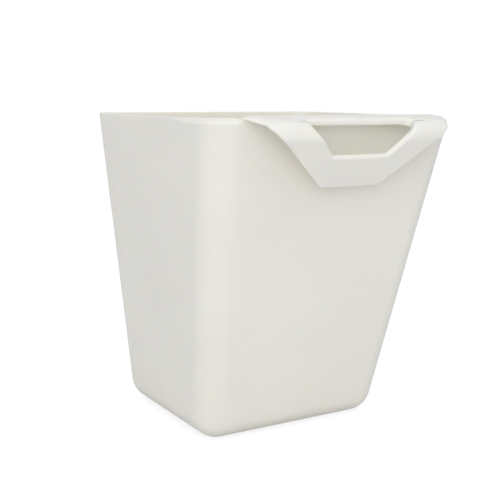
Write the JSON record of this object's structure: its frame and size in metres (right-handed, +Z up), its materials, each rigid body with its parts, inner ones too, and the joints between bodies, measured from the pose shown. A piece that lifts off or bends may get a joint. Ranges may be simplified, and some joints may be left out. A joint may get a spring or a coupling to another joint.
{
  "type": "open-top waste bin",
  "caption": "Open-top tapered plastic waste bin with rounded corners and a folded hook handle with a finger opening on its front rim.",
  "frame": {"origin": "centre of the flat base, on the floor", "axes": "+Z up, -Y toward the front with the handle, +X to the right seen from behind; the part is symmetric about X = 0"},
  "size_m": [0.26, 0.2794, 0.3],
  "materials": {
    "bin_plastic": "fine satin, moulded",
    "handle_plastic": "fine satin, moulded"
  },
  "bodies": {
    "root": {"bin_body": "bin_plastic", "hook_handle": "handle_plastic"}
  },
  "joints": []
}
